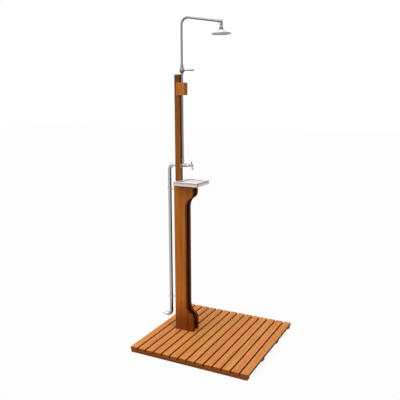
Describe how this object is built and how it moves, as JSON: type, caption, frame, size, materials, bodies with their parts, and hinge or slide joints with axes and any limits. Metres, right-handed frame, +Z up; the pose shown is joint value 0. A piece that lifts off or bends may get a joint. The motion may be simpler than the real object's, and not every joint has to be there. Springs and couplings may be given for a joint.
{
  "type": "outdoor shower post",
  "caption": "Garden shower: timber post with ogee cheeks on a slatted square board, steel soap tray, chrome tap and supply pipe, lever valve and gooseneck with a tilting disc head.",
  "frame": {"origin": "on the ground under the centre of the square duckboard", "axes": "+Z up, slats along X, the shower arm reaches towards -Y"},
  "size_m": [0.9, 0.9, 2.332],
  "materials": {
    "slat_timber": "oiled, planed",
    "bearer_timber": "planed",
    "column_timber": "oiled, satin",
    "dowel_timber": "plain",
    "tray_steel": "satin",
    "bolt_steel": "plain",
    "seat_plastic": "plain",
    "nozzle_rubber": "soft",
    "pin_brass": "turned",
    "chrome": "polished"
  },
  "bodies": {
    "frame": {"arm_elbow": "chrome", "ball_stud": "chrome", "bearer_1": "bearer_timber", "bearer_2": "bearer_timber", "bearer_3": "bearer_timber", "bearer_4": "bearer_timber", "bracket_left": "column_timber", "bracket_right": "column_timber", "cheek_left": "column_timber", "cheek_right": "column_timber", "clip_high": "chrome", "clip_low": "chrome", "column_bolts": "bolt_steel", "core_post": "column_timber", "dowels": "dowel_timber", "foot_board": "bearer_timber", "foot_left": "column_timber", "foot_right": "column_timber", "front_flange": "chrome", "hose_nut": "chrome", "hose_spigot": "chrome", "inlet_elbow": "chrome", "lever_pin": "pin_brass", "pipe_block": "column_timber", "rear_flange": "chrome", "riser_nut": "chrome", "riser_pipe": "chrome", "shelf_board": "column_timber", "shower_arm": "chrome", "slat_01": "slat_timber", "slat_02": "slat_timber", "slat_03": "slat_timber", "slat_04": "slat_timber", "slat_05": "slat_timber", "slat_06": "slat_timber", "slat_07": "slat_timber", "slat_08": "slat_timber", "slat_09": "slat_timber", "slat_10": "slat_timber", "slat_11": "slat_timber", "slat_12": "slat_timber", "slat_13": "slat_timber", "slat_14": "slat_timber", "soap_tray": "tray_steel", "supply_pipe": "chrome", "tap_body": "chrome", "tap_bonnet": "chrome", "through_nipple": "pin_brass", "tray_backing": "bearer_timber", "valve_body": "chrome", "valve_collar": "chrome"},
    "tap_turn": {"tap_spindle": "pin_brass", "tap_handle": "chrome", "handle_cap": "chrome"},
    "lever": {"valve_lever": "chrome", "lever_skirt": "chrome"},
    "seat": {"ball_seat": "seat_plastic"},
    "head": {"swivel_nut": "chrome", "head_shell": "chrome", "spray_face": "nozzle_rubber"}
  },
  "joints": [
    {"name": "tap_handle_turn", "type": "hinge", "parent": "frame", "child": "tap_turn", "pos_m": [0, 0.183, 1.3], "axis": [0, -1, 0], "range_deg": [0, 90]},
    {"name": "valve_lever_lift", "type": "hinge", "parent": "frame", "child": "lever", "pos_m": [0, 0.258, 1.97], "axis": [-1, 0, 0], "range_deg": [0, 20]},
    {"name": "head_tilt_front", "type": "hinge", "parent": "frame", "child": "seat", "pos_m": [0, -0.046, 2.23597], "axis": [1, 0, 0], "range_deg": [-12, 12]},
    {"name": "head_tilt_side", "type": "hinge", "parent": "seat", "child": "head", "pos_m": [0, -0.046, 2.23597], "axis": [0, 1, 0], "range_deg": [-12, 12]}
  ]
}
